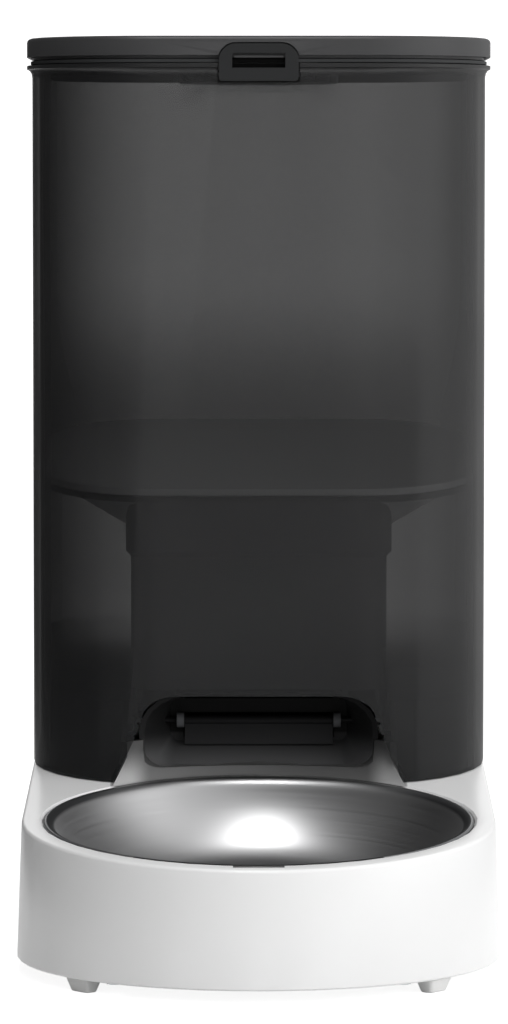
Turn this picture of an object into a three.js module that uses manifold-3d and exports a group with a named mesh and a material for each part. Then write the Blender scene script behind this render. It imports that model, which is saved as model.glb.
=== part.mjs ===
// Smart pet feeder: a smoky food tower on a white base that holds a steel bowl.
// Millimetres, +Z up, the bowl towards -Y, the origin on the floor under the middle of the feeder.
import * as THREE from 'three';
import { mergeVertices } from 'three/addons/utils/BufferGeometryUtils.js';
import Module from 'manifold-3d';

const wasm = await Module();
wasm.setup();

// Whole feeder
const totalHeight = 321.3;
const towerWidth = 162.8;
const towerDepth = 148;
const towerCorner = 44;
const shellWall = 2.6;
const bowlOverlap = 24.1; // the base's round front, taken as half a circle, ends this far under the tower
const deckHeight = 52; // deck above the floor at the bowl's centre
const deckSlope = 0.09; // rise of the deck per millimetre towards the back
const baseFlare = 1.6; // the base is this much wider at its foot
const footHeight = 4.9;

// Fits and cuts
const seatGap = 0.3; // between pieces that rest on or beside each other
const slipGap = 0.5; // between pieces that slide past each other
const turnGap = 0.15; // round a shaft in its hole
const overrun = 8; // how far a cut runs past what it cuts

// Facets
const cornerSteps = 7;
const smallCornerSteps = 3;
const edgeSteps = 3;
const baseSteps = 14;
const bowlSteps = 40;
const scoopSteps = 5;
const roundSteps = 20;
const smallSteps = 10;

// Lid and rim
const rimOverhang = 1.9;
const lidBand = 6.8;
const rimGroove = 2.9;
const rimBand = 1.3;
const coveHeight = 3;
const lidEdge = 1.5;
const lidWall = 2.6;
const lidStep = 1; // the lid's underside drops this far inside its band
const plugDepth = 7;
const plugWall = 1.8;
const plugGap = 1;
const sealSetback = 0.6;

// Lid hinge
const hingeRadius = 3.4;
const hingePinRadius = 1.5;
const hingeDrop = 1.3; // hinge axis below the rim's top
const knuckleHalf = 20;
const earWidth = 8;
const earGusset = 10;

// Lid latch
const latchHalf = 14;
const latchBelow = 6.2; // latch foot below the rim's top
const latchAbove = 6.9; // latch top above the rim's top
const latchCorner = 6;
const latchThickness = 2.4;
const latchProud = 0.4; // latch face beyond the lid's band
const latchPinRadius = 0.7;
const latchKnuckle = 1.5;
const latchPinDrop = 3.9; // latch pin below the rim's top
const latchPinInset = 1.3; // latch pin behind the tower's face
const latchPinGrip = 3;
const slotHalf = 9.3;
const slotBelow = 1.6;
const slotAbove = 3.6;
const noseHalf = 8.6;
const noseHeight = 1;
const noseDrop = 0.9; // nose below the top of the latch's slot
const noseReach = 1.6;
const bossWall = 1.9;

// Desiccant holder under the lid
const pouchRadius = 29;
const pouchDepth = 12.6;
const pouchWall = 1.6;
const capThickness = 2;
const capGripHeight = 3;
const capSlotCount = 8;
const capSlotWidth = 2.2;
const capSlotStart = 9;
const capSlotEnd = 23;

// Food outlet, from the deck up: scoop, throat with its flap, and the arched cut-out in the tower
const scoopLift = 9.9; // scoop's floor above the deck at the bowl's centre
const throatStep = 7.8; // throat's floor above the scoop's
const throatHeight = 10.1;
const archHood = 8.5; // cut-out above the throat
const archShoulder = 8; // height of the round shoulders
const archKneeDrop = 15; // where the sides begin to spread, below the cut-out's top
const archTopInset = 11.7; // half widths, from the scoop's
const archKneeSpread = 2.2;
const archFootSpread = 10.6;
const nickReach = 1.4; // small catches in the cut-out's edge
const nickSize = 0.9;
const nickPlaces = [[0.2, 1.7], [1.5, 6.2]]; // beyond the cut-out's side, below its shoulders
const scoopInset = 4.3; // scoop's half width, less than the cover's
const scoopLipDepth = 9; // side of the lip behind the tower's front
const scoopWall = 1.4;
const scoopFootRadius = 6;
const scoopTopRadius = 12;
const throatInset = 9.5; // throat's half width, less than the scoop's
const throatSetback = 9; // throat behind the apron
const ductInset = 4.7; // duct's half width, less than the throat's
const ductShare = 0.85; // of the barrel's radius, where the duct's upper side ends

// Outlet flap
const flapSetback = 3; // flap's pin ahead of the throat
const flapPinDrop = 2.5; // flap's pin below the throat's top
const flapClearance = 1.6; // under the flap
const flapThickness = 1.4;
const flapRod = 1.6;
const flapEar = 2.7;
const flapEarWidth = 2.8;
const flapInset = 5.1; // flap's half width, less than the throat's
const flapPin = 1;

// Mechanism cover and chassis
const sideSpace = 35.9; // between the tower's side and the cover
const coverSetback = 4.6; // cover behind the tower's inner wall
const coverBackGap = 3.8; // behind the motor
const coverCorner = 9;
const coverWall = 2;
const coverShoulder = 1.8;
const coverShoulderDrop = 20;
const chassisDrop = 2; // chassis floor below the throat's top
const chassisRim = 27.5;
const chassisPlate = 2.5;
const chassisWall = 2;

// Dispenser
const barrelSetbackShare = 0.135; // of the tower's depth, from the throat back to the rotor's axis
const barrelShare = 0.194; // of the tower's depth, the barrel's radius
const barrelLift = 6.8; // barrel's bore above the throat's top
const barrelWall = 2.3;
const gearRoom = 14; // between the barrel's end and the cover
const sideThickness = 2.4;
const vaneCount = 6;
const vaneThickness = 2.2;
const vaneTipGap = 1.1;
const rotorHub = 7.5;
const shaftRadius = 4;
const bushWall = 2.5;
const bushFlange = 1;

// Hopper floor
const inletRiseShare = 0.836; // of the barrel's radius, from the rotor's axis up to the inlet
const inletShare = 0.7; // of the barrel's radius, half the inlet's depth
const inletSpout = 3;
const hopperFall = 22; // from the floor's front rim down to the inlet
const funnelSlope = 0.13; // rise of the rim towards the back
const funnelRim = 2.4;
const funnelWall = 2;

// Gears and motor
const trainShare = 0.4155; // of the tower's depth, the length of the gears' line of centres
const gearFace = 5;
const rotorTeeth = 30;
const idlerTeeth = 20;
const pinionTeeth = 12;
const rootShare = 1.25; // of the module, below the pitch circle
const rootSpreadShare = 1.1; // tooth's width at the root, of its width at the base circle
const pressureAngle = 20; // degrees
const gearBacklash = 0.35;
const idlerAngle = -20; // degrees, from the rotor towards the back
const motorAngle = 15; // degrees, from the idler towards the back
const motorShare = 0.0845; // of the tower's depth, the motor's radius
const motorEndRoom = 23; // between the motor's end and the cover
const gearboxShare = 0.4; // of the motor's length
const motorShaft = 2;
const motorShaftGrip = 8;

// Base, well and bowl
const baseWall = 2.5;
const deckEdge = 1.2;
const deckRim = 7; // deck's width beside the bowl
const wellChamfer = 0.7;
const wellLedge = 2.4;
const wellLedgeWidth = 4;
const wellTaper = 8.4; // well's floor, less than its mouth in radius
const wellClearance = 3.6; // between the well and the bottom plate
const wellWall = 2.2;
const notchHalf = 8.5;
const notchDepth = 1.6;
const notchReach = 2.4;
const apronHeight = 14.2;
const apronWall = 2;
const apronLean = 2.9; // how far the apron leans back from the bowl
const apronTuck = 1.2; // apron's ends beyond the cut-out's foot
const apronCurveShares = [[0, 0], [0.12, 0.04], [0.42, 0.2], [0.72, 0.46], [0.92, 0.76], [1, 1]];
const bowlFlange = 3.9;
const bowlSheet = 0.8;
const bowlClearance = 2.7; // under the bowl
const bowlWallShares = [
  [1, 0], [0.975, 0.08], [0.93, 0.28], [0.868, 0.5], [0.798, 0.7], [0.71, 0.86],
  [0.58, 0.96], [0.42, 1], [0, 1],
];

// Bottom plate and battery bay
const plateThickness = 2.4;
const bayInset = 16.9; // bay's half width, less than the tower's
const bayFront = 24; // bay behind the tower's front
const bayWall = 2;
const contactRoom = 5.1; // between a cell's end and the bay's wall
const cellRadius = 16.6;
const cellNub = 1.5;
const cellNubRadius = 4.6;
const cellGap = 0.8;
const contactThickness = 0.6;
const contactShare = 0.6; // of the cell's radius
const doorThickness = 2;
const doorTravel = 6;
const doorLip = 3;
const screwRadius = 1.5;
const screwHead = 3;
const screwHeadHeight = 2;
const screwLength = 12;
const screwRecess = 0.8;
const postRadius = 4.5;
const postClearance = 2.3;
const postSwing = 40.5; // degrees from straight ahead, about the bowl's centre
const postRearSwing = 37; // degrees from sideways, about the corner's centre

// Feet
const footHalf = 5.8;
const footDepth = 3.8;
const footTaper = 1.4;
const footInset = 5.9;
const footSwing = 49.25; // degrees, as for the posts
const footRearSwing = 58;
const footCorner = 1.5;

// Rear panel
const boardThickness = 1.6;
const boardHalf = 46;
const boardHeight = 38;
const boardSetback = 13; // board ahead of the tower's back
const chipHalf = 6;
const chipHeight = 1.4;
const panelInset = 7.4; // socket and button, inwards from where the rear corners start
const socketZ = 24;
const socketRadius = 5;
const socketBore = 3.2;
const socketPin = 1;
const socketDepth = 9;
const buttonZ = 30;
const buttonRadius = 6;
const buttonProud = 0.8;
const buttonTravel = 1.2;
const buttonFlange = 1.6;
const lightStep = 16; // from the button to the light
const lightRadius = 1.6;

// Colours
const smoke = 0x2e2f31;
const darkPlastic = 0x18191b;
const flapGrey = 0x3c3d3f;
const sealBlack = 0x0c0c0d;
const white = 0xeff0f0;
const plateWhite = 0xdfe0e0;
const steel = 0xb8babd;
const acetal = 0xd8d4c8;
const brass = 0xb9974a;
const nickel = 0xb9a26a;

// Places worked out from the sizes
const quarter = Math.PI / 2;
const degree = quarter / 90;
const half = towerWidth / 2;
const bowlReach = half - bowlOverlap; // bowl's centre ahead of the tower's front
const frontReach = bowlReach + half + baseFlare;
const hingeReach = slipGap + hingeRadius;
const rearReach = towerDepth + hingeReach + hingeRadius;
const frontY = (frontReach - rearReach) / 2;
const backY = frontY + towerDepth;
const bowlY = frontY - bowlReach;
const deckTilt = Math.atan(deckSlope);
const deckAt = (y) => deckHeight + deckSlope * (y - bowlY);

const lidBottom = totalHeight - lidBand;
const rimTop = lidBottom - rimGroove;
const coveTop = rimTop - rimBand;
const hingeY = backY + hingeReach;
const hingeZ = rimTop - hingeDrop;
const latchPinY = frontY + latchPinInset;
const latchPinZ = rimTop - latchPinDrop;
const latchPocketFoot = rimTop - latchBelow - 2 * seatGap;

const coverHalf = half - sideSpace;
const barrelHalf = coverHalf - coverWall - gearRoom;
const scoopHalf = coverHalf - scoopInset;
const throatHalf = scoopHalf - throatInset;
const ductHalf = throatHalf - ductInset;
const archSideHalf = scoopHalf + seatGap;
const archTopHalf = scoopHalf - archTopInset;
const archKneeHalf = scoopHalf + archKneeSpread;
const archFootHalf = scoopHalf + archFootSpread;

const scoopFloor = deckHeight + scoopLift;
const throatFloor = scoopFloor + throatStep;
const throatTop = throatFloor + throatHeight;
const archTop = throatTop + archHood;
const archSpring = archTop - archShoulder;
const archKnee = archTop - archKneeDrop;
const chassisFloor = throatTop - chassisDrop;
const chassisTop = chassisFloor + chassisRim;
const barrelRadius = towerDepth * barrelShare;
const barrelHeight = throatTop + barrelLift + barrelRadius;
const inletReach = barrelRadius * inletShare;
const inletTop = barrelHeight + barrelRadius * inletRiseShare;
const funnelFront = inletTop + hopperFall;
const funnelAt = (y) => funnelFront + funnelSlope * (y - frontY);

const wellRadius = half - deckRim;
const wellFloorRadius = wellRadius - wellTaper;
const plateTop = footHeight + plateThickness;
const wellDepth = deckHeight - deckSlope * wellFloorRadius - wellWall - wellClearance - plateTop;
const bowlLip = wellRadius + wellChamfer + seatGap + apronLean; // apron's upper edge about the bowl's centre
const throatDepth = bowlLip - bowlReach + throatSetback; // behind the tower's front
const flapDepth = throatDepth - flapSetback;
const flapHeight = throatTop - flapPinDrop;
const barrelY = frontY + throatDepth + towerDepth * barrelSetbackShare;
const motorRadius = towerDepth * motorShare;
const socketX = half - towerCorner - panelInset;
const buttonX = -socketX;
const lightX = buttonX + lightStep;

// Shape makers: each returns a closed three.js geometry
function planPoints(wide, low, high, lowRadius, highRadius, highSteps = cornerSteps, lowSteps = highSteps) {
  const corners = [
    [wide - lowRadius, low + lowRadius, lowRadius, -quarter, lowSteps],
    [wide - highRadius, high - highRadius, highRadius, 0, highSteps],
    [highRadius - wide, high - highRadius, highRadius, quarter, highSteps],
    [lowRadius - wide, low + lowRadius, lowRadius, 2 * quarter, lowSteps],
  ];
  return corners.flatMap(([x, y, radius, start, steps]) =>
    Array.from({ length: steps + 1 }, (_, step) => {
      const angle = start + (quarter * step) / steps;
      return [x + radius * Math.cos(angle), y + radius * Math.sin(angle)];
    }),
  );
}

const towerPlan = (grow) =>
  planPoints(half + grow, frontY - grow, backY + grow, towerCorner + grow, towerCorner + grow);

function basePlan(grow) {
  const wide = half + grow;
  return planPoints(wide, bowlY - wide, backY + grow, wide, towerCorner + grow, cornerSteps, baseSteps);
}

// A ring of points at a height, or at a height that depends on y
const ring = (plan, height) =>
  plan.map(([x, y]) => [x, y, typeof height === 'function' ? height(y) : height]);

// Steps of a quarter round of the given radius: how far in from its side, and how far below its top
const quarterRound = (radius, steps = edgeSteps) =>
  Array.from({ length: steps + 1 }, (_, step) => {
    const angle = (quarter * step) / steps;
    return [radius * (1 - Math.cos(angle)), radius * (1 - Math.sin(angle))];
  });

// A solid through rings of equal count, capped at both ends, or closed on itself as a hoop
function loft(rings, hoop = false) {
  const count = rings[0].length;
  const faces = [];
  const spans = hoop ? rings.length : rings.length - 1;
  for (let span = 0; span < spans; span += 1) {
    const low = span * count;
    const high = ((span + 1) % rings.length) * count;
    for (let i = 0; i < count; i += 1) {
      const j = (i + 1) % count;
      faces.push(low + i, low + j, high + j, low + i, high + j, high + i);
    }
  }
  if (!hoop) {
    const outline = rings[0].map(([x, y]) => new THREE.Vector2(x, y));
    const top = (rings.length - 1) * count;
    THREE.ShapeUtils.triangulateShape(outline, []).forEach(([a, b, c]) => faces.push(c, b, a));
    const lid = rings[rings.length - 1].map(([x, y]) => new THREE.Vector2(x, y));
    THREE.ShapeUtils.triangulateShape(lid, []).forEach(([a, b, c]) => faces.push(top + a, top + b, top + c));
  }
  const geometry = new THREE.BufferGeometry();
  geometry.setAttribute('position', new THREE.Float32BufferAttribute(rings.flat(2), 3));
  geometry.setIndex(faces);
  return geometry;
}

// Turns a geometry drawn in u, v and w so that w runs along the named axis
function alongAxis(geometry, axis) {
  const turn = new THREE.Matrix4();
  if (axis === 'x') turn.set(0, 0, 1, 0, 1, 0, 0, 0, 0, 1, 0, 0, 0, 0, 0, 1);
  if (axis === 'y') turn.set(1, 0, 0, 0, 0, 0, 1, 0, 0, 1, 0, 0, 0, 0, 0, 1);
  return geometry.applyMatrix4(turn);
}

// Pushes a flat shape along an axis: its own two directions are y,z for x, x,z for y and x,y for z
function pushed(shape, axis, from, to, steps = smallSteps) {
  const flat = Array.isArray(shape) ? new THREE.Shape(shape.map(([u, v]) => new THREE.Vector2(u, v))) : shape;
  const settings = { depth: to - from, bevelEnabled: false, curveSegments: steps };
  const geometry = new THREE.ExtrudeGeometry(flat, settings);
  return alongAxis(geometry.translate(0, 0, from), axis);
}

function disc(u, v, radius, bore = 0) {
  const shape = new THREE.Shape().absarc(u, v, radius, 0, 4 * quarter);
  if (bore > 0) shape.holes.push(new THREE.Path().absarc(u, v, bore, 0, 4 * quarter, true));
  return shape;
}

const rod = (radius, axis, from, to, [u, v], steps = smallSteps) =>
  pushed(disc(u, v, radius), axis, from, to, steps / 2);

const box = (x0, x1, y0, y1, z0, z1) =>
  new THREE.BoxGeometry(x1 - x0, y1 - y0, z1 - z0).translate((x0 + x1) / 2, (y0 + y1) / 2, (z0 + z1) / 2);

// A bore's radius at its corners, so that its flats clear what turns in it
const boreRadius = (clear, steps) => clear / Math.cos((2 * quarter) / steps);

function turned(profile, steps = roundSteps) {
  const points = profile.map(([radius, height]) => new THREE.Vector2(radius, height));
  return new THREE.LatheGeometry(points, steps).rotateX(quarter);
}

// The shape that a belt round some circles would take
function hullShape(circles, steps = roundSteps) {
  const points = circles.flatMap(([u, v, radius]) =>
    Array.from({ length: steps }, (_, step) => {
      const angle = (4 * quarter * step) / steps;
      return [u + radius * Math.cos(angle), v + radius * Math.sin(angle)];
    }),
  );
  points.sort((a, b) => a[0] - b[0] || a[1] - b[1]);
  const turnOf = (o, a, b) => (a[0] - o[0]) * (b[1] - o[1]) - (a[1] - o[1]) * (b[0] - o[0]);
  const chain = (list) => {
    const kept = [];
    for (const point of list) {
      while (kept.length > 1 && turnOf(kept[kept.length - 2], kept[kept.length - 1], point) <= 0) kept.pop();
      kept.push(point);
    }
    return kept.slice(0, -1);
  };
  return [...chain(points), ...chain([...points].reverse())];
}

// Joins and cuts
function solid(geometry) {
  const bare = geometry.clone();
  bare.deleteAttribute('normal');
  bare.deleteAttribute('uv');
  const merged = mergeVertices(bare);
  const corners = merged.index.array;
  const kept = [];
  for (let i = 0; i < corners.length; i += 3) {
    const [a, b, c] = corners.slice(i, i + 3);
    if (a !== b && b !== c && c !== a) kept.push(a, b, c);
  }
  const make = (triVerts) =>
    new wasm.Manifold(
      new wasm.Mesh({
        numProp: 3,
        vertProperties: new Float32Array(merged.attributes.position.array),
        triVerts: new Uint32Array(triVerts),
      }),
    );
  const made = make(kept);
  return made.volume() < 0 ? make(kept.reverse()) : made;
}

function geometryOf(body) {
  const mesh = body.getMesh();
  const geometry = new THREE.BufferGeometry();
  geometry.setAttribute('position', new THREE.Float32BufferAttribute(mesh.vertProperties, mesh.numProp));
  geometry.setIndex(Array.from(mesh.triVerts));
  return geometry;
}

const joined = (...pieces) => geometryOf(pieces.map(solid).reduce((whole, piece) => whole.add(piece)));
const cut = (body, ...tools) =>
  geometryOf(tools.map(solid).reduce((left, tool) => left.subtract(tool), solid(body)));
const shared = (a, b) => geometryOf(solid(a).intersect(solid(b)));

const feeder = new THREE.Group();

function addPart(name, geometry, color, roughness, metalness = 0) {
  const faces = geometryOf(solid(geometry)).toNonIndexed();
  faces.computeVertexNormals();
  const mesh = new THREE.Mesh(faces, new THREE.MeshStandardMaterial({ color, roughness, metalness }));
  mesh.name = name;
  feeder.add(mesh);
}

// Outlines that more than one piece follows

// The tower's cut-out: flat top, long round shoulders, and sides that spread out like a mound at the deck
function archShape(grow) {
  const shape = new THREE.Shape();
  const foot = deckAt(frontY) + seatGap;
  const flare = (archFootHalf - archKneeHalf) / (archKnee - foot);
  const spread = archFootHalf + flare * (foot - deckHeight) + grow;
  const top = archTop + grow;
  const shoulder = (archSpring + top) / 2;
  const haunch = (archSideHalf + archTopHalf) / 2 + grow;
  shape.moveTo(-spread, deckHeight);
  shape.lineTo(-archFootHalf - grow, foot);
  shape.quadraticCurveTo(-archKneeHalf - grow, archKnee, -archSideHalf - grow, archSpring);
  shape.bezierCurveTo(-archSideHalf - grow, shoulder, -haunch, top, -archTopHalf, top);
  shape.lineTo(archTopHalf, top);
  shape.bezierCurveTo(haunch, top, archSideHalf + grow, shoulder, archSideHalf + grow, archSpring);
  shape.quadraticCurveTo(archKneeHalf + grow, archKnee, archFootHalf + grow, foot);
  shape.lineTo(spread, deckHeight);
  return shape;
}

// The latch's face: square foot and round shoulders
function latchShape(grow) {
  const wide = latchHalf + grow;
  const top = rimTop + latchAbove + grow;
  const corner = latchCorner + grow;
  const foot = rimTop - latchBelow - grow;
  const small = latchThickness / 2;
  const shape = new THREE.Shape();
  shape.moveTo(small - wide, foot);
  shape.absarc(wide - small, foot + small, small, -quarter, 0);
  shape.absarc(wide - corner, top - corner, corner, 0, quarter);
  shape.absarc(corner - wide, top - corner, corner, quarter, 2 * quarter);
  shape.absarc(small - wide, foot + small, small, 2 * quarter, 3 * quarter);
  return shape;
}

// The scoop's mouth, a trough whose sides draw in from the lip to the throat
const scoopDraw = (scoopHalf - throatHalf) / (throatDepth - scoopLipDepth);

function scoopBody(grow, from = scoopLipDepth - scoopWall) {
  const section = (depth, wide, floor, footRadius, topRadius) => {
    const top = archTop - scoopWall + grow;
    const radii = [footRadius + grow, topRadius + grow];
    const outline = planPoints(wide + grow, floor - grow, top, ...radii, scoopSteps);
    return outline.map(([x, z]) => [x, z, frontY + depth]);
  };
  const wideAt = (depth) => scoopHalf + scoopDraw * (scoopLipDepth - depth);
  const rings = [from, throatDepth - throatSetback].map((depth) =>
    section(depth, wideAt(depth), scoopFloor, scoopFootRadius, scoopTopRadius),
  );
  const small = [scoopFootRadius / 2, scoopTopRadius / 2];
  rings.push(section(throatDepth + grow, throatHalf, throatFloor, ...small));
  return alongAxis(loft(rings), 'y');
}

// The space that the scoop takes, for cutting what stands round it
const scoopSpace = () => scoopBody(scoopWall + seatGap);

// Everything nearer the bowl's centre than the back of the apron
const beforeApron = (gap) => onDeck(rod(bowlLip + apronWall + gap, 'z', -half, half, [0, 0], bowlSteps));

// The hopper floor's slopes, from its rim down to the inlet over the rotor
const inletPlan = (grow) =>
  planPoints(
    barrelHalf + grow,
    barrelY - inletReach - grow,
    barrelY + inletReach + grow,
    funnelWall + grow,
    funnelWall + grow,
    cornerSteps,
  );

// Round things that lie in the sloping deck are turned about the deck's own normal
const onDeck = (geometry) => geometry.rotateX(deckTilt).translate(0, bowlY, deckHeight);

function makeTowerShell() {
  const cove = quarterRound(1).map(([out, down]) =>
    ring(towerPlan(rimOverhang * out), coveTop - coveHeight * down),
  );
  const foot = (y) => deckAt(y) + seatGap;
  const shell = loft(
    [
      ring(towerPlan(0), foot),
      ...cove,
      ring(towerPlan(rimOverhang), rimTop),
      ring(towerPlan(-shellWall), rimTop),
      ring(towerPlan(-shellWall), foot),
    ],
    true,
  );
  const bossHalf = latchHalf + latchPinGrip + shellWall;
  const bossFoot = latchPocketFoot - bossWall / 2;
  const bossBack = frontY + shellWall + bossWall;
  const boss = box(-bossHalf, bossHalf, frontY + shellWall / 2, bossBack, bossFoot, rimTop);
  const ears = [-1, 1].map((side) => {
    const inner = side * (knuckleHalf + slipGap);
    const outer = side * (knuckleHalf + slipGap + earWidth);
    const outline = hullShape([
      [hingeY, hingeZ, hingeRadius],
      [backY - shellWall / 2, hingeZ, shellWall / 2 - turnGap],
      [backY - shellWall / 2, hingeZ - earGusset, shellWall / 2 - turnGap],
    ]);
    return pushed(outline, 'x', Math.min(inner, outer), Math.max(inner, outer));
  });
  const archDepth = frontY + towerCorner / 3;
  const latchWide = latchHalf + slipGap;
  const knuckleBack = latchPinY + latchKnuckle + seatGap;
  const knuckleTop = latchPinZ + latchKnuckle + seatGap;
  const pinReach = latchHalf + latchPinGrip;
  const reliefWide = knuckleHalf + slipGap;
  const reliefFoot = coveTop - coveHeight - overrun;
  const nicks = nickPlaces.map(([beyond, below]) => {
    const reach = archSideHalf + beyond + nickReach;
    const middle = archSpring - below;
    return box(-reach, reach, frontY - overrun, archDepth, middle - nickSize / 2, middle + nickSize / 2);
  });
  return cut(
    joined(shell, boss, ...ears),
    pushed(archShape(0), 'y', frontY - overrun, archDepth, smallSteps),
    ...nicks,
    box(-latchWide, latchWide, frontY - overrun, frontY + slipGap, latchPocketFoot, rimTop + overrun),
    box(-latchWide, latchWide, frontY - overrun, knuckleBack, latchPocketFoot, knuckleTop),
    rod(latchPinRadius + turnGap, 'x', -pinReach, pinReach, [latchPinY, latchPinZ]),
    rod(hingePinRadius + turnGap, 'x', -half, half, [hingeY, hingeZ]),
    box(-reliefWide, reliefWide, backY + turnGap, hingeY + overrun, reliefFoot, rimTop + overrun),
  );
}

function makeLid() {
  const edge = quarterRound(lidEdge).map(([inward, down]) =>
    ring(towerPlan(rimOverhang - inward), totalHeight - down),
  );
  const underside = lidBottom - lidStep;
  const shell = loft([
    ring(towerPlan(-slipGap), underside),
    ring(towerPlan(-slipGap), lidBottom),
    ring(towerPlan(rimOverhang), lidBottom),
    ...edge,
  ]);
  const plugOut = -shellWall - plugGap;
  const plugIn = plugOut - plugWall;
  const plug = loft([ring(towerPlan(plugOut), lidBottom - plugDepth), ring(towerPlan(plugOut), lidBottom)]);
  const hollow = loft([
    ring(towerPlan(plugIn), lidBottom - plugDepth - overrun),
    ring(towerPlan(plugIn), totalHeight - lidWall),
  ]);
  const knuckle = pushed(
    hullShape([
      [hingeY, hingeZ, hingeRadius],
      [backY + rimOverhang - lidEdge / 2, lidBottom + lidBand / 3, lidEdge / 2],
      [backY + slipGap + lidEdge / 2, lidBottom, lidEdge / 2],
    ]),
    'x',
    -knuckleHalf,
    knuckleHalf,
  );
  const nose = box(
    -noseHalf, noseHalf,
    frontY - noseReach, frontY + lidStep,
    rimTop + slotAbove - noseDrop - noseHeight, rimTop + slotAbove - noseDrop,
  );
  const bossHalf = latchHalf + latchPinGrip + shellWall + plugGap;
  const bossBack = frontY + shellWall + bossWall + plugGap;
  const body = cut(
    joined(shell, plug),
    hollow,
    pushed(latchShape(slipGap), 'y', frontY - overrun, frontY + slipGap),
    box(-bossHalf, bossHalf, frontY, bossBack, rimTop - 2 * overrun, rimTop + seatGap),
  );
  return cut(joined(body, knuckle, nose), rod(hingePinRadius + turnGap, 'x', -half, half, [hingeY, hingeZ]));
}

function makeLidSeal() {
  const low = rimTop + seatGap;
  const high = lidBottom - lidStep - seatGap;
  const out = -sealSetback;
  const inside = -shellWall - plugGap + seatGap;
  const rings = [[out, low], [out, high], [inside, high], [inside, low]];
  return loft(rings.map(([grow, height]) => ring(towerPlan(grow), height)), true);
}

function makeLatch() {
  const face = frontY - rimOverhang - latchProud;
  const plate = pushed(latchShape(0), 'y', face, face + latchThickness);
  const knuckle = pushed(
    hullShape([
      [latchPinY, latchPinZ, latchKnuckle],
      [face + latchThickness - latchKnuckle / 2, latchPinZ, latchKnuckle],
    ], smallSteps),
    'x',
    -latchHalf + latchThickness / 2,
    latchHalf - latchThickness / 2,
  );
  return cut(
    joined(plate, knuckle),
    box(-slotHalf, slotHalf, face - overrun, face + overrun, rimTop - slotBelow, rimTop + slotAbove),
    rod(latchPinRadius + turnGap, 'x', -half, half, [latchPinY, latchPinZ]),
  );
}

const pouchTop = totalHeight - lidWall - seatGap;
const pouchFoot = pouchTop - pouchDepth;
const pouchY = (frontY + backY) / 2;

function makeDesiccantBox() {
  const inside = boreRadius(pouchRadius - pouchWall, roundSteps);
  return turned([
    [0, pouchTop],
    [pouchRadius, pouchTop],
    [pouchRadius, pouchFoot],
    [inside, pouchFoot],
    [inside, pouchTop - pouchWall],
    [0, pouchTop - pouchWall],
  ]).translate(0, pouchY, 0);
}

function makeDesiccantCap() {
  const radius = pouchRadius - pouchWall - seatGap;
  const plate = turned([
    [0, pouchFoot + capThickness],
    [radius, pouchFoot + capThickness],
    [radius, pouchFoot],
    [0, pouchFoot],
  ]);
  const gripFoot = pouchFoot - capGripHeight;
  const gripTop = pouchFoot + capThickness / 2;
  const grip = box(-capSlotEnd, capSlotEnd, -capThickness, capThickness, gripFoot, gripTop);
  const slotSide = capSlotWidth / 2;
  const slots = Array.from({ length: capSlotCount }, (_, index) => {
    const slot = box(capSlotStart, capSlotEnd, -slotSide, slotSide, pouchFoot - overrun, pouchFoot + overrun);
    return slot.rotateZ(((2 * index + 1) * 2 * quarter) / capSlotCount);
  });
  return cut(joined(plate, grip), ...slots).translate(0, pouchY, 0);
}

function makeFunnel() {
  const outer = towerPlan(-shellWall - seatGap);
  const inner = towerPlan(-shellWall - seatGap - funnelWall);
  const spoutFoot = inletTop - inletSpout;
  return loft(
    [
      ring(outer, funnelAt),
      ring(inner, funnelAt),
      ring(inletPlan(0), inletTop),
      ring(inletPlan(0), spoutFoot),
      ring(inletPlan(funnelWall), spoutFoot),
      ring(inletPlan(funnelWall), inletTop - funnelWall / 2),
      ring(inner, (y) => funnelAt(y) - funnelRim),
      ring(outer, (y) => funnelAt(y) - funnelRim),
    ],
    true,
  );
}

// The space that the hopper floor takes, for cutting what stands under it
function funnelSpace() {
  const inner = towerPlan(-shellWall - seatGap - funnelWall);
  return loft([
    ring(inletPlan(funnelWall + seatGap), inletTop - inletSpout - seatGap),
    ring(inletPlan(funnelWall + seatGap), inletTop - funnelWall / 2 - slipGap),
    ring(inner, (y) => funnelAt(y) - funnelRim - slipGap),
    ring(inner, totalHeight),
  ]);
}

function makeHopperSeal() {
  const out = towerPlan(-shellWall - seatGap);
  const inside = towerPlan(-shellWall - seatGap - funnelWall);
  const top = (y) => funnelAt(y) - funnelRim - seatGap;
  const foot = (y) => funnelAt(y) - 2 * funnelRim;
  return loft([ring(out, foot), ring(out, top), ring(inside, top), ring(inside, foot)], true);
}

const barrelOut = barrelRadius + barrelWall;
const plateIn = barrelHalf + seatGap;
const plateOut = plateIn + sideThickness;
const gearIn = plateOut + bushFlange + 2 * seatGap;
const gearOut = gearIn + gearFace;

// The food's way from the rotor down to the scoop's throat, seen from the side
function ductOutline(grow) {
  const throat = frontY + throatDepth;
  return [
    [throat - scoopWall, throatFloor - grow],
    [barrelY + grow, barrelHeight - barrelRadius - grow],
    [barrelY + grow, barrelHeight - barrelRadius / 2],
    [barrelY - barrelRadius * ductShare, barrelHeight - barrelRadius / 2],
    [throat + scoopWall - grow, throatTop + grow],
    [throat - scoopWall, throatTop + grow],
  ];
}

function makeBarrel() {
  const mouthFront = barrelY - inletReach;
  const mouthBack = barrelY + inletReach;
  return cut(
    pushed(disc(barrelY, barrelHeight, barrelOut, barrelRadius), 'x', -barrelHalf, barrelHalf, roundSteps),
    box(-half, half, mouthFront, mouthBack, barrelHeight, barrelHeight + 2 * barrelRadius),
    pushed(ductOutline(0), 'x', -ductHalf, ductHalf),
    funnelSpace(),
  );
}

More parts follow.
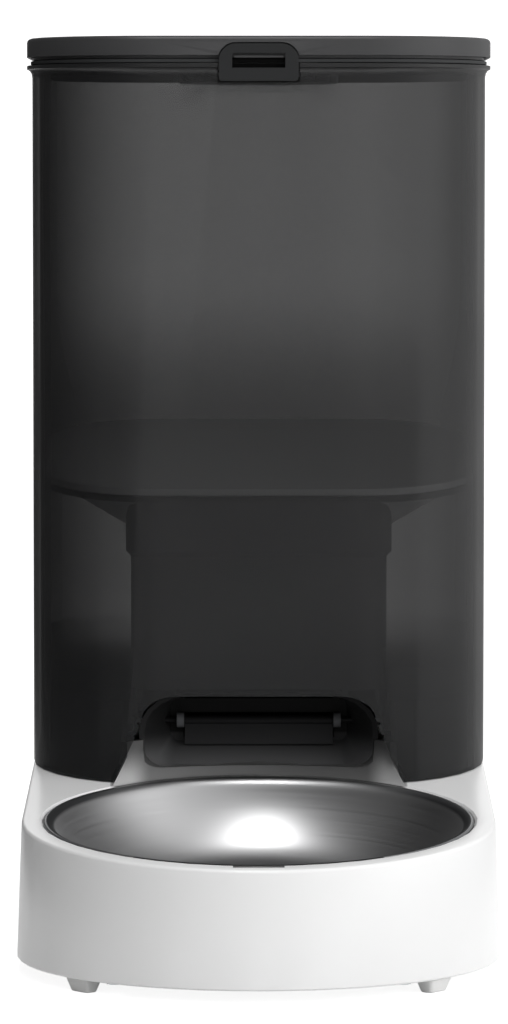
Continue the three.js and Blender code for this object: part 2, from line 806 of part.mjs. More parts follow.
const idlerRadians = idlerAngle * degree;
const motorRadians = motorAngle * degree;
const gearModule = (2 * towerDepth * trainShare) / (rotorTeeth + 2 * idlerTeeth + pinionTeeth);
const rotorToIdler = (gearModule * (rotorTeeth + idlerTeeth)) / 2;
const idlerToPinion = (gearModule * (idlerTeeth + pinionTeeth)) / 2;
const idlerY = barrelY + rotorToIdler * Math.cos(idlerRadians);
const idlerZ = barrelHeight + rotorToIdler * Math.sin(idlerRadians);
const motorY = idlerY + idlerToPinion * Math.cos(motorRadians);
const motorZ = idlerZ + idlerToPinion * Math.sin(motorRadians);
const bushOut = shaftRadius + turnGap + bushWall;

function sidePlate(from, to, circles, bores) {
  const low = chassisFloor + seatGap;
  const legReach = barrelOut - postRadius;
  const legs = [-1, 1].map((side) => [barrelY + side * legReach, low + postRadius, postRadius]);
  const foot = box(from, to, barrelY - barrelOut, barrelY + barrelOut, low, low + postRadius);
  const plate = pushed(hullShape([[barrelY, barrelHeight, barrelOut], ...legs, ...circles]), 'x', from, to);
  const holes = bores.map(([y, z, radius]) =>
    rod(radius, 'x', from - overrun, to + overrun, [y, z], roundSteps),
  );
  return cut(joined(plate, foot), ...holes);
}

function makeSideLeft() {
  return cut(
    sidePlate(-plateOut, -plateIn, [], [[barrelY, barrelHeight, bushOut + turnGap]]),
    funnelSpace(),
    scoopSpace(),
  );
}

function makeGearPlate() {
  const motorPad = [motorY, motorZ, motorRadius + bushWall];
  const bores = [
    [barrelY, barrelHeight, bushOut + turnGap],
    [idlerY, idlerZ, motorShaft + turnGap],
    [motorY, motorZ, motorShaft + slipGap],
  ];
  return cut(sidePlate(plateIn, plateOut, [motorPad], bores), funnelSpace(), scoopSpace());
}

function makeBush(side) {
  const bore = boreRadius(shaftRadius + turnGap, smallSteps);
  const profile = [
    [bore, plateIn - seatGap / 2],
    [bushOut, plateIn - seatGap / 2],
    [bushOut, plateOut + seatGap],
    [bushOut + bushFlange, plateOut + seatGap],
    [bushOut + bushFlange, plateOut + seatGap + bushFlange],
    [bore, plateOut + seatGap + bushFlange],
    [bore, plateIn - seatGap / 2],
  ];
  return turned(profile, smallSteps).rotateY(side * quarter).translate(0, barrelY, barrelHeight);
}

function makeRotor() {
  const tip = barrelRadius - vaneTipGap;
  const points = Array.from({ length: vaneCount }, (_, index) => {
    const middle = (index * 4 * quarter) / vaneCount;
    const spread = Math.asin(vaneThickness / 2 / rotorHub);
    const tipSpread = Math.asin(vaneThickness / 2 / tip);
    const valley = (2 * quarter) / vaneCount;
    return [
      [rotorHub, middle - spread],
      [tip, middle - tipSpread],
      [tip, middle + tipSpread],
      [rotorHub, middle + spread],
      [rotorHub, middle + valley],
    ];
  }).flat();
  const outline = points.map(([radius, angle]) => [
    barrelY + radius * Math.cos(angle),
    barrelHeight + radius * Math.sin(angle),
  ]);
  const length = barrelHalf - slipGap;
  return cut(
    pushed(outline, 'x', -length, length),
    rod(shaftRadius + turnGap, 'x', -half, half, [barrelY, barrelHeight]),
  );
}

// An involute spur gear drawn about its own centre, with a tooth's middle at the given angle
function gearOutline(teeth, phase) {
  const pitch = (gearModule * teeth) / 2;
  const pressure = pressureAngle * degree;
  const baseCircle = pitch * Math.cos(pressure);
  const tip = pitch + gearModule;
  const root = pitch - gearModule * rootShare;
  const involute = (angle) => Math.tan(angle) - angle;
  const halfTooth = quarter / teeth - gearBacklash / (4 * pitch);
  const spreadAt = (radius) =>
    halfTooth + involute(pressure) - involute(Math.acos(Math.min(1, baseCircle / radius)));
  const rootSpread = spreadAt(Math.max(root, baseCircle)) * rootSpreadShare;
  const flank = [[root, rootSpread], [pitch, spreadAt(pitch)], [tip, spreadAt(tip)]];
  const outline = [];
  for (let tooth = 0; tooth < teeth; tooth += 1) {
    const middle = phase + (tooth * 4 * quarter) / teeth;
    const rising = flank.map(([radius, spread]) => [radius, middle - spread]);
    const falling = flank.map(([radius, spread]) => [radius, middle + spread]).reverse();
    for (const [radius, angle] of [...rising, ...falling]) {
      outline.push([radius * Math.cos(angle), radius * Math.sin(angle)]);
    }
  }
  return outline;
}

// The phase that meshes a gear with its neighbour, which lies at the given direction from the first
const meshedPhase = (direction, phase, teeth, nextTeeth) =>
  direction + 2 * quarter + (2 * quarter) / nextTeeth + ((direction - phase) * teeth) / nextTeeth;

const rotorPhase = 0;
const idlerPhase = meshedPhase(idlerRadians, rotorPhase, rotorTeeth, idlerTeeth);
const pinionPhase = meshedPhase(motorRadians, idlerPhase, idlerTeeth, pinionTeeth);

function makeGear(teeth, phase, y, z, bore) {
  const blank = pushed(gearOutline(teeth, phase), 'x', gearIn, gearOut).translate(0, y, z);
  return cut(blank, rod(bore, 'x', gearIn - overrun, gearOut + overrun, [y, z]));
}

function makePinion() {
  const outline = gearOutline(pinionTeeth, pinionPhase);
  const teeth = pushed(outline, 'x', gearIn, gearOut).translate(0, motorY, motorZ);
  const shaft = rod(motorShaft, 'x', plateIn - motorShaftGrip, gearIn + gearFace / 2, [motorY, motorZ]);
  return joined(teeth, shaft);
}

function makeMotor() {
  const face = plateIn - seatGap;
  const length = face + coverHalf - coverWall - motorEndRoom;
  const can = motorRadius - 2 * seatGap;
  const profile = [
    [0, face - length],
    [can, face - length],
    [can, face - length * gearboxShare],
    [motorRadius, face - length * gearboxShare],
    [motorRadius, face],
    [motorShaft + turnGap, face],
    [motorShaft + turnGap, face - motorShaftGrip - seatGap],
    [0, face - motorShaftGrip - seatGap],
  ];
  return turned(profile).rotateY(quarter).translate(0, motorY, motorZ);
}

function makeIdlerPin() {
  const neck = gearOut + seatGap;
  const head = rod(2 * motorShaft, 'x', neck, neck + bushFlange, [idlerY, idlerZ]);
  return joined(head, rod(motorShaft, 'x', plateIn, neck + bushFlange / 2, [idlerY, idlerZ]));
}

function makeScoop() {
  const duct = pushed(ductOutline(scoopWall), 'x', -ductHalf - scoopWall, ductHalf + scoopWall);
  const pins = rod(flapPin + 2 * turnGap, 'x', -half, half, [frontY + flapDepth, flapHeight]);
  return cut(
    joined(scoopBody(scoopWall), duct),
    scoopBody(0, 0),
    pushed(ductOutline(0), 'x', -ductHalf, ductHalf),
    beforeApron(seatGap),
    pins,
    rod(barrelOut + seatGap, 'x', -half, half, [barrelY, barrelHeight], bowlSteps),
  );
}

function makeFlap() {
  const y = frontY + flapDepth;
  const flapHalf = throatHalf - flapInset;
  const reach = throatHalf + scoopDraw * flapSetback + scoopWall / 2;
  const floor = throatFloor - (throatStep * flapSetback) / throatSetback;
  const side = flapThickness / 2;
  const ear = pushed(disc(y, flapHeight, flapEar), 'x', flapHalf, flapHalf + flapEarWidth, smallSteps / 2);
  const otherEar = ear.clone().translate(-2 * flapHalf - flapEarWidth, 0, 0);
  return joined(
    box(-flapHalf, flapHalf, y - side, y + side, floor + flapClearance, flapHeight),
    rod(flapRod, 'x', -flapHalf, flapHalf, [y, flapHeight]),
    ear,
    otherEar,
    rod(flapPin, 'x', -reach, reach, [y, flapHeight]),
  );
}

function makeCover() {
  const front = frontY + shellWall + coverSetback;
  const back = motorY + motorRadius + bushWall + coverBackGap + coverWall;
  const plan = (grow) => {
    const corner = coverCorner + grow;
    return planPoints(coverHalf + grow, front - grow, back + grow, corner, corner, smallCornerSteps);
  };
  const foot = chassisFloor + seatGap;
  const shoulder = funnelFront - funnelRim - coverShoulderDrop;
  const walls = loft(
    [
      ring(plan(0), foot),
      ring(plan(0), shoulder - coverShoulder),
      ring(plan(coverShoulder), shoulder),
      ring(plan(coverShoulder), funnelAt(backY)),
      ring(plan(coverShoulder - coverWall), funnelAt(backY)),
      ring(plan(coverShoulder - coverWall), shoulder),
      ring(plan(-coverWall), shoulder - coverShoulder),
      ring(plan(-coverWall), foot),
    ],
    true,
  );
  const doorEnd = frontY + throatDepth + scoopWall + slipGap;
  const doorway = box(-half, half, frontY, doorEnd, deckHeight, archTop + scoopWall + slipGap);
  return cut(walls, funnelSpace(), doorway);
}

function makeChassis() {
  const out = towerPlan(-shellWall - slipGap);
  const inside = towerPlan(-shellWall - slipGap - chassisWall);
  const middle = towerPlan(-shellWall - slipGap - chassisWall / 2);
  const foot = (y) => deckAt(y) + seatGap;
  const rings = [ring(out, foot), ring(out, chassisTop), ring(inside, chassisTop), ring(inside, foot)];
  const walls = loft(rings, true);
  const floor = loft([ring(middle, chassisFloor - chassisPlate), ring(middle, chassisFloor)]);
  const gap = scoopHalf + 2 * scoopWall + slipGap;
  const apronEnd = barrelY + 2 * scoopWall;
  return cut(
    joined(walls, floor),
    pushed(archShape(scoopWall), 'y', frontY - overrun, frontY + throatDepth),
    box(-gap, gap, frontY - overrun, apronEnd, deckHeight, archTop + scoopWall),
    beforeApron(seatGap),
  );
}

const postReach = half + baseFlare - baseWall - postRadius - postClearance;
const postRearReach = towerCorner + baseFlare - baseWall - postRadius;
const postPlaces = [-1, 1].flatMap((side) => [
  [side * postReach * Math.sin(postSwing * degree), bowlY - postReach * Math.cos(postSwing * degree)],
  [
    side * (half - towerCorner + postRearReach * Math.cos(postRearSwing * degree)),
    backY - towerCorner + postRearReach * Math.sin(postRearSwing * degree),
  ],
]);

// The apron stands on the deck between the bowl and the outlet, inside the tower's cut-out
function makeApron() {
  const curve = apronCurveShares.map(([out, up]) => [bowlLip - apronLean * (1 - out), apronHeight * up]);
  const back = bowlLip + apronWall;
  const start = [curve[0][0], -wellChamfer];
  const profile = [start, ...curve, [back, apronHeight], [back, -wellChamfer], start];
  const inside = towerPlan(-shellWall - seatGap);
  const reach = archFootHalf + apronTuck;
  const behindWall = shared(
    loft([ring(inside, deckHeight), ring(inside, archTop)]),
    box(-reach, reach, frontY, backY, 0, archTop),
  );
  const inArch = pushed(archShape(-slipGap), 'y', frontY - shellWall, frontY + 2 * shellWall);
  return shared(onDeck(turned(profile, bowlSteps)), joined(behindWall, inArch));
}

function makeBaseShell() {
  const foot = footHeight;
  const edge = quarterRound(deckEdge).map(([inward, down]) =>
    ring(basePlan(-inward), (y) => deckAt(y) - down),
  );
  const outside = loft([
    ring(basePlan(baseFlare - deckEdge / 2), foot),
    ring(basePlan(baseFlare), foot + deckEdge / 2),
    ...edge,
  ]);
  const hollow = loft([
    ring(basePlan(baseFlare - baseWall), foot - overrun),
    ring(basePlan(baseFlare - baseWall), foot),
    ring(basePlan(-baseWall), (y) => deckAt(y) - baseWall),
  ]);
  const ledge = wellRadius - wellLedgeWidth;
  const cup = turned(
    [
      [0, -wellDepth - wellWall],
      [wellFloorRadius + wellWall, -wellDepth - wellWall],
      [ledge + wellWall, -wellLedge - wellWall],
      [wellRadius + wellWall, -wellLedge - wellWall],
      [wellRadius + wellWall, -wellChamfer],
      [0, -wellChamfer],
    ],
    roundSteps,
  );
  const well = turned(
    [
      [0, -wellDepth],
      [wellFloorRadius, -wellDepth],
      [ledge, -wellLedge],
      [wellRadius, -wellLedge],
      [wellRadius, -wellChamfer],
      [wellRadius + wellChamfer, 0],
      [wellRadius + wellChamfer, wellChamfer],
      [0, wellChamfer],
    ],
    bowlSteps,
  );
  const notchFront = bowlY - wellRadius;
  const notch = shared(
    box(-notchHalf, notchHalf, notchFront - notchReach, notchFront + notchReach, 0, 2 * deckHeight),
    onDeck(rod(2 * half, 'z', -notchDepth, overrun, [0, 0])),
  );
  const posts = postPlaces.map(([x, y]) =>
    rod(postRadius, 'z', plateTop + seatGap, deckAt(y) - baseWall / 2, [x, y]),
  );
  const pilots = postPlaces.map(([x, y]) =>
    rod(screwRadius + turnGap, 'z', 0, plateTop + screwLength + seatGap, [x, y]),
  );
  const rear = backY + 2 * overrun;
  return cut(
    joined(cut(outside, hollow), onDeck(cup), makeApron(), ...posts),
    onDeck(well),
    scoopBody(0),
    cut(scoopSpace(), beforeApron(0)),
    notch,
    ...pilots,
    rod(socketRadius + seatGap, 'y', backY - overrun, rear, [socketX, socketZ], roundSteps),
    rod(buttonRadius + seatGap, 'y', backY - overrun, rear, [buttonX, buttonZ], roundSteps),
    rod(lightRadius + turnGap, 'y', backY - overrun, rear, [lightX, buttonZ]),
  );
}

// The bowl's sheet keeps its thickness all the way from the flange to the floor
function makeBowl() {
  const rim = wellRadius - slipGap;
  const mouth = rim - bowlFlange;
  const top = -wellLedge + seatGap + bowlSheet;
  const fall = wellDepth + top - bowlClearance - bowlSheet;
  const inner = bowlWallShares.map(([out, down]) => [mouth * out, top - fall * down]);
  const outer = inner.map(([radius, height], index) => {
    const [fromRadius, fromHeight] = inner[Math.max(0, index - 1)];
    const [toRadius, toHeight] = inner[Math.min(inner.length - 1, index + 1)];
    const run = Math.hypot(toRadius - fromRadius, toHeight - fromHeight);
    const thick = bowlSheet / run;
    return [radius + thick * (fromHeight - toHeight), height - thick * (fromRadius - toRadius)];
  });
  const flange = [[rim, top], [rim, top - bowlSheet], [outer[0][0], top - bowlSheet]];
  return onDeck(turned([...inner.reverse(), ...flange, ...outer.slice(1)], bowlSteps));
}

const bayHalf = half - bayInset;
const bayBack = bayFront + 4 * cellRadius + 3 * cellGap;
const cellLength = bayHalf - cellGap / 2 - contactRoom;
const cellZ = plateTop + cellRadius + cellGap;
const bayTop = cellZ + cellRadius + cellGap;

function makeBottomPlate() {
  const plate = loft([
    ring(basePlan(baseFlare - baseWall - seatGap), footHeight),
    ring(basePlan(baseFlare - baseWall - seatGap), footHeight + plateThickness),
  ]);
  const bay = box(
    -bayHalf - bayWall, bayHalf + bayWall,
    frontY + bayFront - bayWall, frontY + bayBack + bayWall,
    footHeight, bayTop + bayWall,
  );
  const room = box(-bayHalf, bayHalf, frontY + bayFront, frontY + bayBack, 0, bayTop);
  const recess = box(
    -bayHalf - bayWall - doorTravel, bayHalf + bayWall,
    frontY + bayFront - doorLip, frontY + bayBack + doorLip,
    0, footHeight + doorThickness / 2,
  );
  const holes = postPlaces.map(([x, y]) => rod(screwRadius + turnGap, 'z', 0, plateTop + overrun, [x, y]));
  const sinkTop = footHeight + screwRecess;
  const sinks = postPlaces.map(([x, y]) => rod(screwHead + seatGap, 'z', 0, sinkTop, [x, y]));
  return cut(joined(plate, bay), room, recess, ...holes, ...sinks);
}

function makeBatteryDoor() {
  const low = footHeight - doorThickness / 2;
  return box(
    -bayHalf - bayWall + seatGap, bayHalf + bayWall - seatGap,
    frontY + bayFront - doorLip + seatGap, frontY + bayBack + doorLip - seatGap,
    low, low + doorThickness - seatGap,
  );
}

function makeCell(x, y, side) {
  const start = -cellLength / 2;
  return turned(
    [
      [0, start],
      [cellRadius, start],
      [cellRadius, -start - cellNub],
      [cellNubRadius, -start - cellNub],
      [cellNubRadius, -start],
      [0, -start],
    ],
    roundSteps,
  ).rotateY(side * quarter).translate(x, y, cellZ);
}

// A bowed strip on one of the bay's end walls
function makeContact(side, y0, y1) {
  const wall = -side * (bayHalf - seatGap);
  const crest = wall + side * (contactRoom - contactThickness - 2 * seatGap);
  const outline = [
    [wall, cellZ - cellRadius / 2],
    [wall + side * contactThickness, cellZ - cellRadius / 2],
    [crest + side * contactThickness, cellZ],
    [wall + side * contactThickness, cellZ + cellRadius / 2],
    [wall, cellZ + cellRadius / 2],
    [crest, cellZ],
  ];
  return pushed(side > 0 ? outline : outline.reverse(), 'y', y0, y1);
}

function makeScrew(x, y) {
  const head = footHeight + screwRecess - seatGap;
  return turned(
    [
      [0, head - screwHeadHeight],
      [screwHead, head - screwHeadHeight],
      [screwHead, head],
      [screwRadius, head],
      [screwRadius, head + screwLength],
      [0, head + screwLength],
    ],
    smallSteps,
  ).translate(x, y, 0);
}

// Two feet under the round front and two under the rear corners, each turned to follow the skirt
const footReach = half + baseFlare - footInset;
const footRearReach = towerCorner + baseFlare - footInset;
const footPlaces = [-1, 1].flatMap((side) => {
  const front = footSwing * degree;
  const rear = footRearSwing * degree;
  return [
    [side * footReach * Math.sin(front), bowlY - footReach * Math.cos(front), side * front],
    [
      side * (half - towerCorner + footRearReach * Math.cos(rear)),
      backY - towerCorner + footRearReach * Math.sin(rear),
      side * (rear - quarter),
    ],
  ];
});

function makeFoot([x, y, turn]) {
  const plan = (shrink) => {
    const deep = footDepth - shrink;
    return planPoints(footHalf - shrink, -deep, deep, footCorner, footCorner, smallCornerSteps);
  };
  const foot = loft([ring(plan(footTaper), 0), ring(plan(0), footHeight - seatGap)]);
  return foot.rotateZ(turn).translate(x, y, 0);
}

const rearInner = backY + baseFlare - baseWall;
const boardY = backY - boardSetback;

function makeBoard() {
  const low = plateTop + seatGap;
  const face = boardY - boardThickness;
  const plate = box(-boardHalf, boardHalf, face, boardY, low, low + boardHeight);
  const chip = box(-chipHalf, chipHalf, face - chipHeight, boardY, low + chipHalf, low + 3 * chipHalf);
  return joined(plate, chip);
}

function makeSocket() {
  const mouth = rearInner + baseWall / 2;
  const back = boardY + seatGap;
  return turned([
    [0, back],
    [socketRadius, back],
    [socketRadius, mouth],
    [socketBore, mouth],
    [socketBore, mouth - socketDepth],
    [socketPin, mouth - socketDepth],
    [socketPin, mouth - socketPin],
    [0, mouth - socketPin],
  ]).rotateX(-quarter).translate(socketX, 0, socketZ);
}

function makeButton() {
  const face = backY + baseFlare + buttonProud;
  const flange = rearInner - seatGap - buttonTravel / 2;
  return turned([
    [0, flange - buttonFlange],
    [buttonRadius + buttonFlange, flange - buttonFlange],
    [buttonRadius + buttonFlange, flange],
    [buttonRadius, flange],
    [buttonRadius, face],
    [0, face],
  ]).rotateX(-quarter).translate(buttonX, 0, buttonZ);
}

function makeLight() {
  return rod(lightRadius, 'y', boardY + seatGap, backY + baseFlare / 2, [lightX, buttonZ]);
}

// The feeder put together, from the lid down
const latchPinReach = latchHalf + latchPinGrip - seatGap;
const hingePinReach = knuckleHalf + earWidth;
addPart('lid', makeLid(), smoke, 0.25);
addPart('lid_seal', makeLidSeal(), sealBlack, 0.8);
addPart('lid_latch', makeLatch(), smoke, 0.35);
const latchPin = rod(latchPinRadius, 'x', -latchPinReach, latchPinReach, [latchPinY, latchPinZ]);
const hingePin = rod(hingePinRadius, 'x', -hingePinReach, hingePinReach, [hingeY, hingeZ]);
addPart('latch_pin', latchPin, steel, 0.3, 1);
addPart('lid_hinge_pin', hingePin, steel, 0.3, 1);
addPart('desiccant_box', makeDesiccantBox(), white, 0.5);
addPart('desiccant_cap', makeDesiccantCap(), white, 0.5);
addPart('tower_shell', makeTowerShell(), smoke, 0.2);

addPart('hopper_funnel', makeFunnel(), smoke, 0.35);
addPart('hopper_seal', makeHopperSeal(), sealBlack, 0.8);
addPart('mechanism_cover', makeCover(), darkPlastic, 0.5);
addPart('dispenser_barrel', makeBarrel(), darkPlastic, 0.5);
addPart('dispenser_side', makeSideLeft(), darkPlastic, 0.5);
addPart('gear_plate', makeGearPlate(), darkPlastic, 0.5);
addPart('bush_left', makeBush(-1), acetal, 0.6);
addPart('bush_right', makeBush(1), acetal, 0.6);
addPart('feed_rotor', makeRotor(), acetal, 0.6);
const rotorPlace = [barrelY, barrelHeight];
const rotorShaft = rod(shaftRadius, 'x', -plateOut - 2 * bushFlange, gearOut + bushFlange, rotorPlace);
addPart('rotor_shaft', rotorShaft, steel, 0.3, 1);
addPart('rotor_gear', makeGear(rotorTeeth, rotorPhase, ...rotorPlace, shaftRadius + turnGap), acetal, 0.6);
addPart('idler_gear', makeGear(idlerTeeth, idlerPhase, idlerY, idlerZ, motorShaft + turnGap), acetal, 0.6);
addPart('idler_pin', makeIdlerPin(), steel, 0.3, 1);
addPart('motor_pinion', makePinion(), brass, 0.35, 1);
addPart('gear_motor', makeMotor(), steel, 0.4, 1);
addPart('outlet_scoop', makeScoop(), darkPlastic, 0.45);
addPart('outlet_flap', makeFlap(), flapGrey, 0.5);
addPart('chassis', makeChassis(), darkPlastic, 0.55);

addPart('base_shell', makeBaseShell(), white, 0.35);
addPart('bowl', makeBowl(), steel, 0.22, 1);
addPart('bottom_plate', makeBottomPlate(), plateWhite, 0.5);
addPart('battery_door', makeBatteryDoor(), plateWhite, 0.5);

// Two rows of two cells, the front row one way round and the rear row the other, so one strip joins them
const cellRows = [bayFront + cellGap + cellRadius, bayFront + 2 * cellGap + 3 * cellRadius];
cellRows.forEach((depth, row) => {
  [-1, 1].forEach((side, column) => {
    const cell = makeCell((side * (cellLength + cellGap)) / 2, frontY + depth, row === 0 ? 1 : -1);
    addPart(`battery_${2 * row + column + 1}`, cell, steel, 0.35, 0.6);
  });
});
const stripReach = cellRadius * contactShare;
const [frontRow, rearRow] = cellRows.map((depth) => frontY + depth);
addPart('contact_front', makeContact(-1, frontRow - stripReach, frontRow + stripReach), nickel, 0.3, 1);
addPart('contact_rear', makeContact(-1, rearRow - stripReach, rearRow + stripReach), nickel, 0.3, 1);
addPart('contact_bridge', makeContact(1, frontRow - stripReach, rearRow + stripReach), nickel, 0.3, 1);

postPlaces.forEach(([x, y], index) => addPart(`base_screw_${index + 1}`, makeScrew(x, y), steel, 0.3, 1));
footPlaces.forEach((place, index) => addPart(`foot_${index + 1}`, makeFoot(place), 0xd9dada, 0.7));
addPart('circuit_board', makeBoard(), 0x1d5a38, 0.5);
addPart('power_socket', makeSocket(), 0x151617, 0.5);
addPart('feed_button', makeButton(), 0xd7d8d8, 0.4);
addPart('status_light', makeLight(), 0xe8f2ea, 0.15);

export default feeder;
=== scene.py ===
"""An automatic pet feeder, dressed for its portrait: smoky hopper, dark outlet, white base and steel bowl."""

import math

import bmesh
import bpy
from mathutils import Matrix, Vector


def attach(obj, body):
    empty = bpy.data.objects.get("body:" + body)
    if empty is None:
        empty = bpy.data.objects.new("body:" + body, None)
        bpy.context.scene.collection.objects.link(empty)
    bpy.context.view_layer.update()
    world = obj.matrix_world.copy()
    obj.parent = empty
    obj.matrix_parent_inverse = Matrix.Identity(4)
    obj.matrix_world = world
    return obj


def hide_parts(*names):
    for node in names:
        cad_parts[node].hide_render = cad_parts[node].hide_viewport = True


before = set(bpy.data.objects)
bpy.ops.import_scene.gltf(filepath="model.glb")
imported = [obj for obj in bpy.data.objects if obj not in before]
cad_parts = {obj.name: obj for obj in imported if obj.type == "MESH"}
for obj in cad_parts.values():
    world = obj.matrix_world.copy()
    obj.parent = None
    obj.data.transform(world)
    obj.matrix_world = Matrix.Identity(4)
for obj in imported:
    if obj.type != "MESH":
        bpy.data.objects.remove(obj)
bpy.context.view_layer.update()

# Camera
# A long lens almost two metres in front of the feeder, a little above its bowl and tipped down at it,
# so that upright lines stay upright and the deck and the bowl are seen as thin ovals.
picture_height = 1024
shift_pixels = -4.73
tip_down = 3.587
camera_data = bpy.data.cameras.new("portrait_camera")
camera_data.sensor_fit = "VERTICAL"
camera_data.sensor_height = 24.0
camera_data.lens = 122.95
camera_data.shift_x = shift_pixels / picture_height
camera_data.clip_end = 50
camera = bpy.data.objects.new("portrait_camera", camera_data)
camera.location = (0, -1.8552, 0.2696)
camera.rotation_euler = (math.radians(90 - tip_down), 0, 0)
bpy.context.collection.objects.link(camera)
bpy.context.scene.camera = camera
bpy.context.scene.view_settings.view_transform = "Standard"


# Studio
# A white floor and a white backdrop of matt paper, in a room that is dark on the left and pale on the right.
# A large soft panel lights from the right, a smaller one from the front and a lamp from above the bowl, and
# a narrow strip at the right shows only as a gleam along the tower.
def hex_colour(code):
    channels = [int(code[i : i + 2], 16) / 255 for i in (0, 2, 4)]
    return tuple(c / 12.92 if c <= 0.04045 else ((c + 0.055) / 1.055) ** 2.4 for c in channels) + (1.0,)


def add_node(tree, kind, inputs=(), **settings):
    made = tree.nodes.new(kind)
    for name, value in settings.items():
        setattr(made, name, value)
    for socket, value in dict(inputs).items():
        if isinstance(value, bpy.types.NodeSocket):
            tree.links.new(value, made.inputs[socket])
        else:
            made.inputs[socket].default_value = value
    return made


def shading(tree, steps, curve="SMOOTHSTEP"):
    """The product of steps, each along a value from one place to another: from 0 to 1, or as it says.

    Places a hundredth of a millimetre apart make a hard edge.
    """
    product = 1.0
    for value, start, end, *levels in steps:
        low, high = levels or (0.0, 1.0)
        limits = {"Value": value, "From Min": start, "From Max": end, "To Min": low, "To Max": high}
        step = add_node(tree, "ShaderNodeMapRange", limits, interpolation_type=curve)
        both = {0: product, 1: step.outputs[0]}
        product = add_node(tree, "ShaderNodeMath", both, operation="MULTIPLY").outputs[0]
    return product


room = bpy.data.worlds.new("studio_room")
room.use_nodes = True
room.node_tree.nodes.clear()
toward = add_node(room.node_tree, "ShaderNodeTexCoord").outputs["Generated"]
sides = add_node(room.node_tree, "ShaderNodeSeparateXYZ", {"Vector": toward})
left_wall, right_wall = -0.4, 0.9
left_glow, right_glow = 0.1, 0.9
walls = shading(room.node_tree, [(sides.outputs["X"], left_wall, right_wall, left_glow, right_glow)])
room_light = add_node(
    room.node_tree,
    "ShaderNodeBackground",
    {"Color": hex_colour("fbfbfb"), "Strength": walls},
)
add_node(room.node_tree, "ShaderNodeOutputWorld", {"Surface": room_light.outputs[0]})
bpy.context.scene.world = room

# The paper's own glow, by the distance from the feeder, whose shadow has to show
shadow_reach = 0.22
full_glow_from = 0.7


def studio_paper(name, width, height, place, stand, near_glow):
    """Matt paper that glows white for the lens and for shiny or clear surfaces, and not for the light."""
    mesh = bpy.data.meshes.new(name)
    shape = bmesh.new()
    bmesh.ops.create_grid(shape, x_segments=1, y_segments=1, size=0.5)
    stretch = Matrix.Diagonal((width, height, 1, 1))
    turn = Matrix.Rotation(math.radians(stand), 4, "X")
    bmesh.ops.transform(shape, matrix=Matrix.Translation(place) @ turn @ stretch, verts=shape.verts)
    shape.to_mesh(mesh)
    shape.free()
    sheet = bpy.data.objects.new(name, mesh)
    bpy.context.collection.objects.link(sheet)
    paper = bpy.data.materials.new(name + "_paper")
    paper.use_nodes = True
    tree = paper.node_tree
    tree.nodes.clear()
    spot = add_node(tree, "ShaderNodeTexCoord").outputs["Object"]
    away = add_node(tree, "ShaderNodeVectorMath", {0: spot}, operation="LENGTH").outputs["Value"]
    glow = shading(tree, [(away, shadow_reach, full_glow_from, near_glow, 1.0)])
    matt = add_node(tree, "ShaderNodeBsdfDiffuse", {"Color": hex_colour("cfcfcf")})
    light = add_node(tree, "ShaderNodeEmission", {"Color": hex_colour("ffffff"), "Strength": glow})
    both = add_node(tree, "ShaderNodeAddShader", {0: matt.outputs[0], 1: light.outputs[0]})
    path = add_node(tree, "ShaderNodeLightPath").outputs
    seen = path["Is Camera Ray"]
    for ray in ("Is Glossy Ray", "Is Transmission Ray"):
        seen = add_node(tree, "ShaderNodeMath", {0: seen, 1: path[ray]}, operation="MAXIMUM").outputs[0]
    lit = add_node(tree, "ShaderNodeMixShader", {0: seen, 1: matt.outputs[0], 2: both.outputs[0]})
    # Seen from its back, where a lens may stand behind or below it, the paper isn't there
    behind = add_node(tree, "ShaderNodeNewGeometry").outputs["Backfacing"]
    clear = add_node(tree, "ShaderNodeBsdfTransparent")
    one_sided = add_node(tree, "ShaderNodeMixShader", {0: behind, 1: lit.outputs[0], 2: clear.outputs[0]})
    add_node(tree, "ShaderNodeOutputMaterial", {"Surface": one_sided.outputs[0]})
    mesh.materials.append(paper)


studio_paper("studio_floor", width=0.58, height=6.4, place=(0, 0, 0), stand=0, near_glow=0.87)
studio_paper("studio_backdrop", width=1.6, height=3.0, place=(0, 3.2, 1.5), stand=90, near_glow=1.0)


def soft_panel(name, width, height, place, aim, watts, in_gleams=True, on_matt=True):
    """A lamp behind a sheet of diffuser, which can be kept out of gleams or off matt surfaces."""
    panel = bpy.data.lights.new(name, "AREA")
    panel.shape = "RECTANGLE"
    panel.size = width
    panel.size_y = height
    panel.energy = watts
    lamp = bpy.data.objects.new(name, panel)
    lamp.location = place
    lamp.rotation_euler = (Vector(aim) - Vector(place)).to_track_quat("-Z", "Y").to_euler()
    lamp.visible_glossy = in_gleams
    lamp.visible_diffuse = on_matt
    bpy.context.collection.objects.link(lamp)


soft_panel(
    "right_panel",
    width=1.4,
    height=1.4,
    place=(1.2, -1.0, 0.6),
    aim=(0, 0, 0.15),
    watts=9.8,
    in_gleams=False,
)
soft_panel(
    "front_panel",
    width=0.9,
    height=0.6,
    place=(-0.1, -1.5, 1.0),
    aim=(0, -0.05, 0.1),
    watts=4.6,
    in_gleams=False,
)
soft_panel(
    "bowl_lamp",
    width=0.24,
    height=0.46,
    place=(-0.052, -0.61, 1.46),
    aim=(0, -0.05, 0.05),
    watts=7.2,
)
soft_panel(
    "side_glow",
    width=0.5,
    height=1.3,
    place=(1.1, -0.35, 0.62),
    aim=(0, 0.05, 0.2),
    watts=1.0,
    on_matt=False,
)


# Base
# The base is one white ABS moulding: a tapered skirt, a deck that slopes down to the bowl, the cup that
# takes the bowl, and a low apron that rises behind it round the outlet. Its edges have a small round.
mould_edge = 0.0003
crease_angle = 38
flat_angle = 0.4
weld_distance = 2e-6


